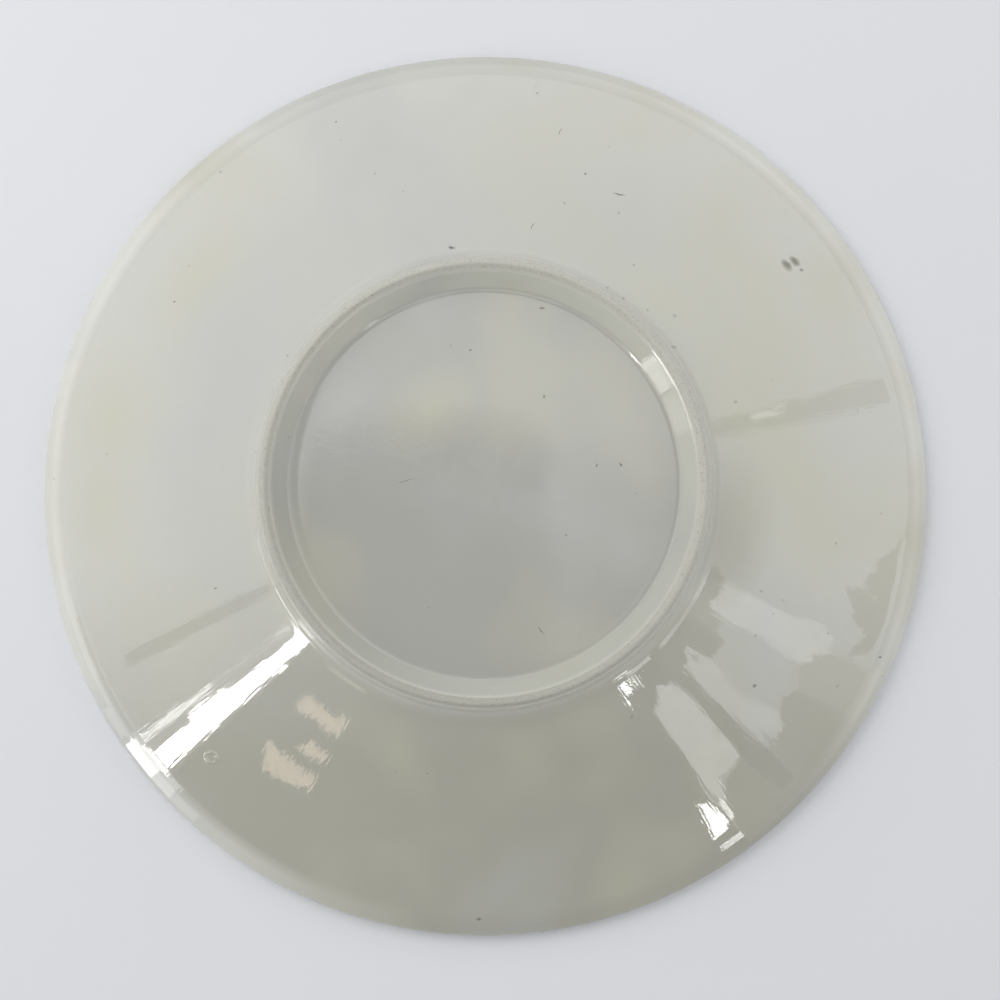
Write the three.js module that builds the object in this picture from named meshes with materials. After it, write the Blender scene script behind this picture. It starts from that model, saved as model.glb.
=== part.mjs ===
// A tea saucer in cream-glazed earthenware, standing on its foot ring.
// Millimetres, +Z up, origin at the centre of the circle on which the foot stands.
// Every piece is a body of revolution. One outline of the finished surface is drawn,
// and the fired clay lies one glaze thickness inside it.
import * as THREE from 'three';

// Flange: the wide, straight, conical part between the foot and the rim
const rimRadius = 70;
const flangeSlope = THREE.MathUtils.degToRad(24.6);
const flangeThickness = 3.4;
const glazeThickness = 0.25;

// Foot ring: both edges of its crest, the corner where its outer wall meets the flange,
// and the height up its walls to which the glaze was wiped off before firing
const footInnerRadius = 32.8;
const footOuterRadius = 34.3;
const footWallTopRadius = 34.95;
const footWallHeight = 3.6;
const footFilletRadius = 2.4;
const crestRounding = 0.25;
const bareHeight = 0.55;

// Hollow under the base, inside the foot ring, with a bevelled wall
const recessDepth = 4.2;
const recessRadius = 29.9;
const recessFilletRadius = 1.6;

// Well floor, and the sweep from it into the flange
const baseThickness = 3.8;
const wellFilletRadius = 16;

// Rim: a bevelled and rounded lip, steeper than the flange that it ends
const lipWidth = 2.3;
const lipSlope = THREE.MathUtils.degToRad(42);
const lipBreakRadius = 1;
const lipShoulderRadius = 1.6;
const lipTopRadius = 1.2;

// Seat scored into the underside of the body, in which the foot ring is luted with slip
const seatDepth = 0.6;
const seatInnerRadius = 28.6;

// Facets round the axis
const turnSegments = 60;

// Colours of the two materials
const biscuitColour = '#e6dfcd';
const glazeColour = '#d6d5c4';

// Heights and radii that follow from the dimensions above
const wellFloorHeight = recessDepth + baseThickness;
const undersideAt = (radius) => footWallHeight + (radius - footWallTopRadius) * Math.tan(flangeSlope);
const faceAt = (radius) => undersideAt(radius) + flangeThickness / Math.cos(flangeSlope);
const wellEdgeRadius =
  footWallTopRadius + (wellFloorHeight - faceAt(footWallTopRadius)) / Math.tan(flangeSlope);
const lipStartRadius = rimRadius - lipWidth;
const lipShoulderHeight = undersideAt(lipStartRadius) + lipWidth * Math.tan(lipSlope);

// A corner of an outline: radius from the axis, height, its rounding and the steps of its arc
function corner(radius, height, rounding = 0, steps = 0) {
  return { at: new THREE.Vector2(radius, height), rounding, steps };
}

function directionBetween(start, end) {
  return end.at.clone().sub(start.at).normalize();
}

// Angle from one direction to the next, positive for a bend to the left
function turnBetween(before, after) {
  return Math.atan2(before.cross(after), before.dot(after));
}

// Moves every side of an outline to the right of its course, or to the left for a distance
// below zero. Arcs stay concentric, so a rounding on the side it moves to shrinks.
function parallelCorners(corners, distance) {
  const last = corners.length - 1;
  return corners.map((current, index) => {
    const near = Math.min(index, last - 1);
    const far = Math.max(index - 1, 0);
    const before = directionBetween(corners[far], corners[far + 1]);
    const after = directionBetween(corners[near], corners[near + 1]);
    const turn = turnBetween(before, after);
    const outwards = new THREE.Vector2(before.y + after.y, -before.x - after.x).normalize();
    return {
      at: current.at.clone().addScaledVector(outwards, distance / Math.cos(turn / 2)),
      rounding: current.rounding + Math.sign(turn) * distance,
      steps: current.steps,
    };
  });
}

// Points of an outline: straight sides, with an arc tangent to both sides at a rounded corner
function outlinePoints(corners) {
  const points = [];
  corners.forEach((current, index) => {
    if (current.steps === 0) {
      points.push(current.at.clone());
      return;
    }
    const before = directionBetween(corners[index - 1], current);
    const after = directionBetween(current, corners[index + 1]);
    const turn = turnBetween(before, after);
    const start = current.at.clone();
    start.addScaledVector(before, -current.rounding * Math.tan(Math.abs(turn) / 2));
    const centre = start.clone();
    centre.addScaledVector(new THREE.Vector2(-before.y, before.x), Math.sign(turn) * current.rounding);
    for (let step = 0; step <= current.steps; step += 1) {
      points.push(start.clone().rotateAround(centre, (turn * step) / current.steps));
    }
  });
  return points;
}

// The point at a given height on the straight side that ends an outline
function endAtHeight(points, height) {
  const [above, below] = points.slice(-2);
  return above.clone().lerp(below, (above.y - height) / (above.y - below.y));
}

// Finished surface from the middle of the well, over the rim and down the foot's outer wall
const footFillet = corner(footWallTopRadius, footWallHeight, footFilletRadius, 5);
const faceCorners = [
  corner(0, wellFloorHeight),
  corner(wellEdgeRadius, wellFloorHeight, wellFilletRadius, 5),
  corner(rimRadius, faceAt(rimRadius), lipTopRadius, 6),
  corner(rimRadius, lipShoulderHeight, lipShoulderRadius, 3),
  corner(lipStartRadius, undersideAt(lipStartRadius), lipBreakRadius, 2),
  footFillet,
  corner(footOuterRadius, 0),
];

// Finished surface from the middle of the recess, outwards and down the foot's inner wall
const recessFillet = corner(recessRadius, recessDepth, recessFilletRadius, 4);
const recessCorners = [corner(0, recessDepth), recessFillet, corner(footInnerRadius, 0)];

// Outlines of the glaze's outside and of the clay under it, each without its lower end
const facePoints = outlinePoints(faceCorners);
const recessPoints = outlinePoints(recessCorners);
const clayFacePoints = outlinePoints(parallelCorners(faceCorners, glazeThickness));
const clayRecessPoints = outlinePoints(parallelCorners(recessCorners, -glazeThickness));
const faceOutline = facePoints.slice(0, -1);
const recessOutline = recessPoints.slice(0, -1);
const clayFaceOutline = clayFacePoints.slice(0, -1);
const clayRecessOutline = clayRecessPoints.slice(0, -1);

// Where the glaze ends on the two walls of the foot
const outerGlazeEdge = endAtHeight(facePoints, bareHeight);
const outerClayEdge = endAtHeight(clayFacePoints, bareHeight);
const recessGlazeEdge = endAtHeight(recessPoints, bareHeight);
const recessClayEdge = endAtHeight(clayRecessPoints, bareHeight);

// Bare crest of the foot: a flat contact face between two small roundings
const crestOuter = endAtHeight(clayFacePoints, 0);
const crestInner = endAtHeight(clayRecessPoints, 0);
const crestOutline = outlinePoints([
  corner(outerClayEdge.x, outerClayEdge.y),
  corner(crestOuter.x, crestOuter.y, crestRounding, 2),
  corner(crestInner.x, crestInner.y, crestRounding, 2),
  corner(recessClayEdge.x, recessClayEdge.y),
]);

// The clay is shared out at the seat: the ring has both fillets of the foot, the body the rest
const seatHeight = recessDepth + glazeThickness + seatDepth;
const underBody = clayFaceOutline.slice(0, -footFillet.steps);
const ringOuterWall = clayFaceOutline.slice(-footFillet.steps - 1);
const ringInnerWall = clayRecessOutline.slice(1).reverse();
const seatOuter = new THREE.Vector2(ringOuterWall[0].x, seatHeight);
const seatInner = new THREE.Vector2(seatInnerRadius, seatHeight);
const seatInnerFoot = new THREE.Vector2(seatInnerRadius, recessDepth + glazeThickness);
const recessCentre = clayRecessOutline[0];

// Closed outlines of the four pieces, each followed clockwise as seen with +Z up
const bodyOutline = [...underBody, seatOuter, seatInner, seatInnerFoot, recessCentre];
const ringOutline = [
  seatOuter,
  ...ringOuterWall,
  ...crestOutline,
  ...ringInnerWall,
  seatInnerFoot,
  seatInner,
  seatOuter,
];
const outerGlazeOutline = [
  ...faceOutline,
  outerGlazeEdge,
  outerClayEdge,
  ...clayFaceOutline.slice().reverse(),
];
const recessGlazeOutline = [
  ...clayRecessOutline,
  recessClayEdge,
  recessGlazeEdge,
  ...recessOutline.slice().reverse(),
];

const biscuit = new THREE.MeshStandardMaterial({
  color: biscuitColour,
  roughness: 0.85,
  metalness: 0,
});
const glaze = new THREE.MeshStandardMaterial({
  color: glazeColour,
  roughness: 0.12,
  metalness: 0,
});

// Turns an outline about the axis, which a lathe geometry lays along Y, and stands it along Z
function turned(name, outline, material) {
  const upwards = outline.slice().reverse();
  const geometry = new THREE.LatheGeometry(upwards, turnSegments);
  geometry.rotateX(Math.PI / 2);
  const mesh = new THREE.Mesh(geometry, material.clone());
  mesh.name = name;
  return mesh;
}

const saucer = new THREE.Group();
saucer.add(turned('clay_body', bodyOutline, biscuit));
saucer.add(turned('foot_ring', ringOutline, biscuit));
saucer.add(turned('outer_glaze', outerGlazeOutline, glaze));
saucer.add(turned('recess_glaze', recessGlazeOutline, glaze));

export default saucer;
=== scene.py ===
"""A tea saucer in cream-glazed earthenware: the finished surfaces round its turned pieces.

The saucer stands on its foot ring, +Z up, in metres. The picture looks up at its underside,
which is the same as looking down on a saucer that lies face down on its rim.
Turns are counted in that picture, counter-clockwise from its right-hand side.
"""

import math

import bmesh
import bpy
from bpy.props import FloatProperty, FloatVectorProperty, IntProperty, PointerProperty
from mathutils import Matrix, Vector, noise


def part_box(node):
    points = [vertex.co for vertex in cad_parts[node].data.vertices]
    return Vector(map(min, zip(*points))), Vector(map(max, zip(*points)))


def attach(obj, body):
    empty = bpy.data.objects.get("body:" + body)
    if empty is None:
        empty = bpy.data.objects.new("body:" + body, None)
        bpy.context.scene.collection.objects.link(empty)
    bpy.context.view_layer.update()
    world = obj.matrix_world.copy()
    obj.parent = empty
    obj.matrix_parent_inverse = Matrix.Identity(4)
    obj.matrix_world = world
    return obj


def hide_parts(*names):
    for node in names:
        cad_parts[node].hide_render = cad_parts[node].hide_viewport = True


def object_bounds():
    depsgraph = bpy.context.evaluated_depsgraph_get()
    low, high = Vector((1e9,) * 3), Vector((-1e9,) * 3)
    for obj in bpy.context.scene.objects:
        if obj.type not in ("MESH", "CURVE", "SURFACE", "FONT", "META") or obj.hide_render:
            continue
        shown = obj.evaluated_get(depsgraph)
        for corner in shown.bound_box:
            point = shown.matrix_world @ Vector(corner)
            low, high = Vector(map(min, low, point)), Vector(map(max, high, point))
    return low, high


bl_info = {
    "name": "Cream Earthenware Saucer",
    "version": (1, 0, 0),
    "blender": (4, 5, 0),
    "location": "3D View > Sidebar > Saucer",
    "description": "Spins a glazed saucer piece by piece and sets up its stage",
    "category": "Object",
}

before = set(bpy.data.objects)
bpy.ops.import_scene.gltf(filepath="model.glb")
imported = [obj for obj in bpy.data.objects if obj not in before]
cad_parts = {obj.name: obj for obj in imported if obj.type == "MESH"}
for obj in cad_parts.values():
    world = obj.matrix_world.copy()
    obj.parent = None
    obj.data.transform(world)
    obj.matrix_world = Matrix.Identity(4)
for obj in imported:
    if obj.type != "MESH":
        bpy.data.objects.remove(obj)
cad_low, cad_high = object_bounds()

MM = 0.001

# Boxes of the four turned pieces, from which the driving sizes are read
outer_low, outer_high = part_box("outer_glaze")
recess_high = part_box("recess_glaze")[1]
body_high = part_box("clay_body")[1]
foot_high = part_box("foot_ring")[1]

# Sockets of a colour Mix node, which repeats its names
MIX_FACTOR = 0
MIX_A = 6
MIX_B = 7
MIX_RESULT = 2


def linear(colour_hex):
    """Scene-linear RGBA of an sRGB colour written as hex."""
    channels = [int(colour_hex[i:i + 2], 16) / 255 for i in (1, 3, 5)]
    bright = [c / 12.92 if c <= 0.04045 else ((c + 0.055) / 1.055) ** 2.4 for c in channels]
    return (*bright, 1.0)


def add(tree, kind, inputs=None, **settings):
    """Adds a shader node, sets its properties, fills its sockets or links them, and gives its outputs."""
    node = tree.nodes.new("ShaderNode" + kind)
    for name, value in settings.items():
        setattr(node, name, value)
    for socket, value in (inputs or {}).items():
        if isinstance(value, bpy.types.NodeSocket):
            tree.links.new(value, node.inputs[socket])
        else:
            node.inputs[socket].default_value = value
    return node.outputs


class SaucerSizes(bpy.types.PropertyGroup):
    """Sizes of the finished surface. The rim, the height and the seat of the foot are the frame's."""

    flange_slope: FloatProperty(
        name="Flange slope", description="Rise of the flange against the table",
        default=math.radians(24.6), subtype="ANGLE")
    flange_thickness: FloatProperty(
        name="Flange thickness", description="Across the flange, glaze included",
        default=3.4 * MM, subtype="DISTANCE")
    glaze_thickness: FloatProperty(
        name="Glaze thickness", description="Thickness of both glaze skins",
        default=outer_high.x - body_high.x, subtype="DISTANCE")
    foot_inner_radius: FloatProperty(
        name="Foot inner radius", description="Inner edge of the foot's crest",
        default=32.8 * MM, subtype="DISTANCE")
    foot_outer_radius: FloatProperty(
        name="Foot outer radius", description="Outer edge of the foot's crest",
        default=34.3 * MM, subtype="DISTANCE")
    foot_wall_radius: FloatProperty(
        name="Foot wall radius", description="Where the outer wall of the foot meets the flange",
        default=34.95 * MM, subtype="DISTANCE")
    foot_wall_height: FloatProperty(
        name="Foot wall height", description="Height of the corner of foot and flange",
        default=3.6 * MM, subtype="DISTANCE")
    foot_fillet: FloatProperty(
        name="Foot fillet", description="Rounding between foot and flange",
        default=2.4 * MM, subtype="DISTANCE")
    foot_shoulder: FloatProperty(
        name="Foot shoulder", description="Height from which the foot's outer edge was trimmed away",
        default=1 * MM, subtype="DISTANCE")
    foot_bevel: FloatProperty(
        name="Foot bevel", description="Width that the trimming took off the foot's crest",
        default=0.65 * MM, subtype="DISTANCE")
    bare_height: FloatProperty(
        name="Bare height", description="Height to which the foot was wiped clean of glaze",
        default=outer_low.z, subtype="DISTANCE")
    inner_shoulder: FloatProperty(
        name="Inner shoulder", description="Height from which the foot's inner edge was smoothed away",
        default=0.95 * MM, subtype="DISTANCE")
    inner_bevel: FloatProperty(
        name="Inner bevel", description="Width that the smoothing took off the foot's crest",
        default=0.4 * MM, subtype="DISTANCE")
    thinned_outside: FloatProperty(
        name="Thinned outside", description="Height at which the outer glaze begins to thin towards its edge",
        default=1 * MM, subtype="DISTANCE")
    thinned_inside: FloatProperty(
        name="Thinned inside", description="Height at which the recess glaze begins to thin towards its edge",
        default=0.75 * MM, subtype="DISTANCE")
    crest_outer_rounding: FloatProperty(
        name="Crest's outer rounding", description="Worn outer edge of the foot's crest",
        default=0.45 * MM, subtype="DISTANCE")
    crest_inner_rounding: FloatProperty(
        name="Crest's inner rounding", description="Worn inner edge of the foot's crest",
        default=0.4 * MM, subtype="DISTANCE")
    recess_radius: FloatProperty(
        name="Recess radius", description="Flat base inside the foot",
        default=29.9 * MM, subtype="DISTANCE")
    recess_fillet: FloatProperty(
        name="Recess fillet", description="Rounding between the base and the foot's inner wall",
        default=1.1 * MM, subtype="DISTANCE")
    base_thickness: FloatProperty(
        name="Base thickness", description="From the flat base to the well's floor",
        default=3.8 * MM, subtype="DISTANCE")
    well_fillet: FloatProperty(
        name="Well fillet", description="Rounding between the well's floor and the flange",
        default=16 * MM, subtype="DISTANCE")
    lip_width: FloatProperty(
        name="Lip width", description="Width of the bevel under the rim",
        default=2.3 * MM, subtype="DISTANCE")
    lip_slope: FloatProperty(
        name="Lip slope", description="Rise of the bevel under the rim",
        default=math.radians(42), subtype="ANGLE")
    lip_break: FloatProperty(
        name="Lip break", description="Rounding between flange and bevel",
        default=11 * MM, subtype="DISTANCE")
    lip_shoulder: FloatProperty(
        name="Lip shoulder", description="Rounding of the widest part of the lip",
        default=1.6 * MM, subtype="DISTANCE")
    lip_top: FloatProperty(
        name="Lip top", description="Rounding on top of the lip",
        default=1.2 * MM, subtype="DISTANCE")
    undulation: FloatProperty(
        name="Undulation", description="Depth of the gentle waves in the fired glaze",
        default=0.002 * MM, subtype="DISTANCE")
    turn_steps: IntProperty(
        name="Turn steps", description="Facets round the axis", default=400, min=64)
    ring_spacing: FloatProperty(
        name="Ring spacing", description="Longest step along the finished surface",
        default=1 * MM, subtype="DISTANCE")


class SaucerColours(bpy.types.PropertyGroup):
    """Colours that a user would change, in scene-linear values."""

    glaze: FloatVectorProperty(
        name="Glaze", description="Cream lead glaze over a pale body",
        subtype="COLOR", size=4, min=0, max=1, default=linear("#c5c5bc"))
    glaze_pooled: FloatVectorProperty(
        name="Pooled glaze", description="Yellower cream where the glaze lies thicker",
        subtype="COLOR", size=4, min=0, max=1, default=linear("#c8c7b1"))
    glaze_grey: FloatVectorProperty(
        name="Greyed glaze", description="Cooler grey where the glaze lies thin",
        subtype="COLOR", size=4, min=0, max=1, default=linear("#c0c1bd"))
    # Painted shade: darker, yellower glaze towards turn 270 and in a patch by the foot
    glaze_painted_shade: FloatVectorProperty(
        name="Drained glaze", description="Duller, yellower glaze on the side towards which it drained",
        subtype="COLOR", size=4, min=0, max=1, default=linear("#b1b0a0"))
    # Painted shade: the glaze inside the foot is given a darker colour
    recess_painted_shade: FloatVectorProperty(
        name="Recess tint", description="Duller glaze inside the foot, which was swabbed on thinly",
        subtype="COLOR", size=4, min=0, max=1, default=linear("#b7b7af"))
    # Painted light: the foot's inner wall is paler on two sides
    recess_painted_light: FloatVectorProperty(
        name="Pooled recess glaze",
        description="Paler glaze that pooled along one side of the foot's inner wall",
        subtype="COLOR", size=4, min=0, max=1, default=linear("#d4d4c8"))
    # Paler towards the rim; on the lip's left and right and round the foot it is painted light
    rim_tint_and_painted_light: FloatVectorProperty(
        name="Rim tint", description="Paler glaze on the lip, where it ran thin over a sharp edge",
        subtype="COLOR", size=4, min=0, max=1, default=linear("#e4e3da"))
    biscuit: FloatVectorProperty(
        name="Biscuit", description="Bare fired clay",
        subtype="COLOR", size=4, min=0, max=1, default=linear("#cac9be"))
    grime: FloatVectorProperty(
        name="Grime", description="Grey that use has worked into bare clay and pits",
        subtype="COLOR", size=4, min=0, max=1, default=linear("#6f6c63"))
    stain: FloatVectorProperty(
        name="Stain", description="Brown iron spots",
        subtype="COLOR", size=4, min=0, max=1, default=linear("#86826f"))
    floor: FloatVectorProperty(
        name="Floor", description="Plain pale floor",
        subtype="COLOR", size=4, min=0, max=1, default=linear("#eff0f3"))


def new_material(name):
    """An empty node material and its tree."""
    material = bpy.data.materials.new(name)
    material.use_nodes = True
    material.node_tree.nodes.clear()
    return material, material.node_tree


def new_object(bm, name, material):
    """Turns a bmesh into an object of the scene."""
    mesh = bpy.data.meshes.new(name)
    bm.to_mesh(mesh)
    bm.free()
    mesh.materials.append(material)
    made = bpy.data.objects.new(name, mesh)
    bpy.context.scene.collection.objects.link(made)
    return made


# Outlines

# Facets of an outline's arcs: those that bend reflections most, most others, and the short ones
WIDE_ARC = 10
ARC = 8
SMALL_ARC = 6

# Roundings of the foot's two trimmed shoulders, and the least that a corner keeps
OUTER_SHOULDER_ROUNDING = 1.8 * MM
INNER_SHOULDER_ROUNDING = 2 * MM
LEAST_ROUNDING = 0.1 * MM

# Inner edge of the scored seat that the foot ring is luted into
SEAT_INNER_RADIUS = 28.6 * MM

# All finished surface lies this much inside the frame's, so that no wave rises above the frame's facets
SINK = 0.03 * MM


def corner(radius, height, rounding=0.0, segments=0, waves=0.0):
    """A corner of an outline; waves is the share of the glaze's undulation that it takes part in."""
    return {
        "at": Vector((radius, 0, height)), "rounding": rounding, "segments": segments, "waves": waves}


def bend(before, after):
    """Angle by which an outline turns from one side's direction to the next."""
    return math.atan2(before.x * after.z - before.z * after.x, before.dot(after))


def parallel(corners, distance):
    """The same outline moved sideways, to the right of its course for a distance above zero."""
    moved = []
    last = len(corners) - 1
    for index, current in enumerate(corners):
        near = min(index, last - 1)
        far = max(index - 1, 0)
        before = (corners[far + 1]["at"] - corners[far]["at"]).normalized()
        after = (corners[near + 1]["at"] - corners[near]["at"]).normalized()
        turn = bend(before, after)
        outwards = Vector((before.z + after.z, 0, -before.x - after.x)).normalized()
        at = current["at"] + outwards * (distance / math.cos(turn / 2))
        rounding = max(current["rounding"] + math.copysign(distance, turn), LEAST_ROUNDING)
        moved.append({**current, "at": at, "rounding": rounding, "waves": 0.0})
    return moved


def side_at(corners, height):
    """The point at a given height on the last side of an outline."""
    above, below = corners[-2]["at"], corners[-1]["at"]
    return above.lerp(below, (above.z - height) / (above.z - below.z))


def finished_face(sizes):
    """Corners of the glaze's surface from the middle of the well, over the rim and down the foot."""
    rise = math.tan(sizes.flange_slope)
    rim = outer_high.x
    lip_start = rim - sizes.lip_width
    well_floor = recess_high.z - sizes.glaze_thickness + sizes.base_thickness

    def underside(radius):
        return sizes.foot_wall_height + (radius - sizes.foot_wall_radius) * rise

    def face(radius):
        return underside(radius) + sizes.flange_thickness / math.cos(sizes.flange_slope)

    well_edge = sizes.foot_wall_radius + (well_floor - face(sizes.foot_wall_radius)) / rise
    shoulder = underside(lip_start) + sizes.lip_width * math.tan(sizes.lip_slope)
    foot_lean = (sizes.foot_wall_radius - sizes.foot_outer_radius) / sizes.foot_wall_height
    shoulder_radius = sizes.foot_outer_radius + foot_lean * sizes.foot_shoulder
    return [
        corner(0, well_floor, waves=1),
        corner(well_edge, well_floor, sizes.well_fillet, ARC, waves=1),
        corner(rim, face(rim), sizes.lip_top, WIDE_ARC, waves=1),
        corner(rim, shoulder, sizes.lip_shoulder, SMALL_ARC, waves=1),
        corner(lip_start, underside(lip_start), sizes.lip_break, WIDE_ARC, waves=1),
        corner(sizes.foot_wall_radius, sizes.foot_wall_height, sizes.foot_fillet, ARC, waves=1),
        corner(shoulder_radius, sizes.foot_shoulder, OUTER_SHOULDER_ROUNDING, SMALL_ARC),
        corner(sizes.foot_outer_radius - sizes.foot_bevel, 0),
    ]


def finished_recess(sizes):
    """Corners of the glaze's surface from the middle of the base, out and down the foot's inner wall."""
    depth = recess_high.z - sizes.glaze_thickness
    lean = (sizes.foot_inner_radius - sizes.recess_radius) / depth
    shoulder_radius = sizes.foot_inner_radius - lean * sizes.inner_shoulder
    return [
        corner(0, depth, waves=1),
        corner(sizes.recess_radius, depth, sizes.recess_fillet, ARC, waves=1),
        corner(shoulder_radius, sizes.inner_shoulder, INNER_SHOULDER_ROUNDING, SMALL_ARC),
        corner(sizes.foot_inner_radius + sizes.inner_bevel, 0),
    ]


def thinning(face, clay, height, sizes):
    """Clay under the last of the glaze: it rises to the surface as the glaze thins to a feather edge."""
    edge = side_at(face, sizes.bare_height)
    edge.x += math.copysign(SINK, clay[-1]["at"].x - face[-1]["at"].x)
    start = side_at(clay, height)
    return [corner(start.x, start.z), corner(edge.x, edge.z)]


def draw_outline(bm, waves, corners):
    """Draws an outline in the XZ plane as a wire, each rounded corner an arc spun from one vertex."""
    count = len(corners)
    wire = []
    for index, current in enumerate(corners):
        at = current["at"]
        if current["segments"] == 0:
            wire.append(bm.verts.new(at))
            wire[-1][waves] = current["waves"]
            continue
        before = (at - corners[index - 1]["at"]).normalized()
        after = (corners[(index + 1) % count]["at"] - at).normalized()
        turn = bend(before, after)
        start = at - before * (current["rounding"] * math.tan(abs(turn) / 2))
        centre = start + Vector((-before.z, 0, before.x)) * math.copysign(current["rounding"], turn)
        first = bm.verts.new(start)
        first[waves] = current["waves"]
        known = len(bm.verts)
        bmesh.ops.spin(
            bm, geom=[first], cent=centre, axis=(0, -1, 0), angle=turn, steps=current["segments"],
            use_merge=False, use_duplicate=False)
        bm.verts.ensure_lookup_table()
        wire.extend([first, *bm.verts[known:]])
    for pair in zip(wire, wire[1:]):
        if bm.edges.get(pair) is None:
            bm.edges.new(pair)
    if wire[0].co.x > 0:
        bm.edges.new((wire[-1], wire[0]))


# The turn is spun in one sector, which is then doubled until it closes
SECTOR_DOUBLINGS = 4
MERGE_DISTANCE = 0.0005 * MM
SHARP_ANGLE = math.radians(20)


def spin_outline(corners, sizes):
    """Draws a closed outline, divides its wavy sides and spins it about Z."""
    bm = bmesh.new()
    waves = bm.verts.layers.float.new("waves")
    draw_outline(bm, waves, corners)
    for edge in list(bm.edges):
        cuts = math.ceil(edge.calc_length() / sizes.ring_spacing) - 1
        if cuts > 0 and all(vert[waves] > 0 for vert in edge.verts):
            bmesh.ops.subdivide_edges(bm, edges=[edge], cuts=cuts)
    sectors = 2 ** SECTOR_DOUBLINGS
    bmesh.ops.spin(
        bm, geom=bm.verts[:] + bm.edges[:], cent=(0, 0, 0), axis=(0, 0, 1), angle=math.tau / sectors,
        steps=sizes.turn_steps // sectors, use_merge=False, use_duplicate=False)
    for doubling in range(SECTOR_DOUBLINGS):
        copied = bmesh.ops.duplicate(bm, geom=bm.verts[:] + bm.edges[:] + bm.faces[:])["geom"]
        turned = [part for part in copied if isinstance(part, bmesh.types.BMVert)]
        angle = math.tau / sectors * 2 ** doubling
        bmesh.ops.rotate(bm, verts=turned, cent=(0, 0, 0), matrix=Matrix.Rotation(angle, 3, "Z"))
    bmesh.ops.remove_doubles(bm, verts=bm.verts[:], dist=MERGE_DISTANCE)
    bmesh.ops.recalc_face_normals(bm, faces=bm.faces[:])
    for face in bm.faces:
        face.smooth = True
    for edge in bm.edges:
        edge.smooth = edge.calc_face_angle(0.0) < SHARP_ANGLE
    return bm, waves


# Beyond the foot the glaze ran outwards, so its waves are narrow across the run and long beside it, and
# on the underside they are deepest on one side. Elsewhere it lies in broad, flatter waves.
RUN_SPACING = 2.8 * MM
RUN_LENGTH = 6 * MM
RUN_ONSET = 6 * MM
UNEVEN_SIDE = Vector((0.87, 0.5, 0))
UNEVEN_GAIN = 9
BROAD_SPACING = 10 * MM
BROAD_SHARE = 0.6


def undulate(bm, waves, depth):
    """Sinks the finished surface in gentle waves, as a fired glaze lies, and never lifts it."""
    bm.normal_update()
    moves = []
    for vert in bm.verts:
        if vert[waves] <= 0:
            continue
        radius = max(vert.co.xy.length, 1 * MM)
        across = vert.co / radius * (cad_high.x / RUN_SPACING)
        runs = noise.noise(Vector((across.x, across.y, radius / RUN_LENGTH)))
        uneven = 1
        if vert.normal.z < 0:
            uneven = 1 + UNEVEN_GAIN * max(0.0, vert.co.dot(UNEVEN_SIDE) / cad_high.x)
        ran = min(max((radius - foot_high.x) / RUN_ONSET, 0), 1)
        level = noise.noise(vert.co / BROAD_SPACING) * BROAD_SHARE
        height = min((level + (runs * uneven - level) * ran) * depth - SINK, 0)
        moves.append((vert, vert.normal * (height * vert[waves])))
    for vert, move in moves:
        vert.co += move


def finish_piece(bm, name, material, node):
    """Turns a bmesh into an object that rides on the frame and stands for a CAD node."""
    piece = new_object(bm, name, material)
    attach(piece, "root")
    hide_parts(node)


# Marks of making and use on the underside, and one patch of painted shade

# Radius, turn, half length and half width, and the turn along which each lies; lengths in millimetres
IRON_SPOTS = (
    (59.1, 36.6, 1.4, 0.85, 311),
    (60.6, 36.4, 1.2, 0.8, 318),
    (60.7, 34.7, 0.4, 0.35, 0),
    (67.2, 269.1, 0.45, 0.3, 0),
)
DARK_SPECKS = (
    (51.5, 72.3, 0.3, 0.22, 100),
    (16.1, 55.5, 0.26, 0.24, 0),
    (21, 7.7, 0.5, 0.2, 320),
    (17.3, 9.4, 0.4, 0.15, 260),
    (28.3, 71.9, 0.55, 0.2, 345),
    (20.6, 96.2, 0.3, 0.2, 0),
    (36.7, 97.9, 0.7, 0.35, 350),
    (67.5, 337.1, 0.28, 0.22, 0),
    (56.9, 149, 0.25, 0.18, 30),
    (44.2, 201, 0.22, 0.18, 0),
    (63, 112, 0.25, 0.2, 40),
    (47.6, 331, 0.22, 0.16, 80),
    (51.8, 323.5, 0.4, 0.32, 60),
)
FAINT_SPECKS = (
    (35.4, 57.9, 0.35, 0.2, 40),
    (35.4, 53, 0.35, 0.25, 0),
    (36.5, 47, 0.3, 0.25, 0),
    (39, 41.6, 0.35, 0.3, 0),
    (35.7, 35.9, 0.6, 0.35, 340),
    (40.6, 18.2, 0.35, 0.3, 0),
    (41, 55.9, 0.35, 0.18, 90),
    (42, 302.4, 0.28, 0.25, 0),
    (45.5, 339, 0.3, 0.22, 0),
    (48.7, 336.1, 0.28, 0.22, 0),
    (58, 336.9, 0.25, 0.22, 0),
    (63.1, 330.8, 0.35, 0.22, 30),
)
SCRATCHES = (
    (50.3, 65.4, 1.3, 0.13, 350),
    (57.5, 78.2, 1, 0.07, 70),
    (40.6, 79.6, 0.8, 0.07, 60),
    (12, 178, 1.4, 0.06, 15),
    (24, 291, 1, 0.06, 130),
)
POOLS = (
    (55.3, 143.9, 15, 9, 60),
    (59.8, 169.6, 12, 15, 0),
    (40.3, 44.9, 14, 7, 330),
    (62.9, 30.1, 12, 9, 60),
    (60, 182, 15, 9, 90),
    (14, 125, 12, 7, 30),
)
# Painted shade: a duller, darker patch of the underside by the foot
PAINTED_SHADE_PATCHES = (
    (38.5, 349, 16, 8, 79),
)
BURST_BUBBLE = (59.8, 224.6, 1.25, 1.15, 40)
TEAR = (66.4, 354.5, 1.6, 1.1, 70)

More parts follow.
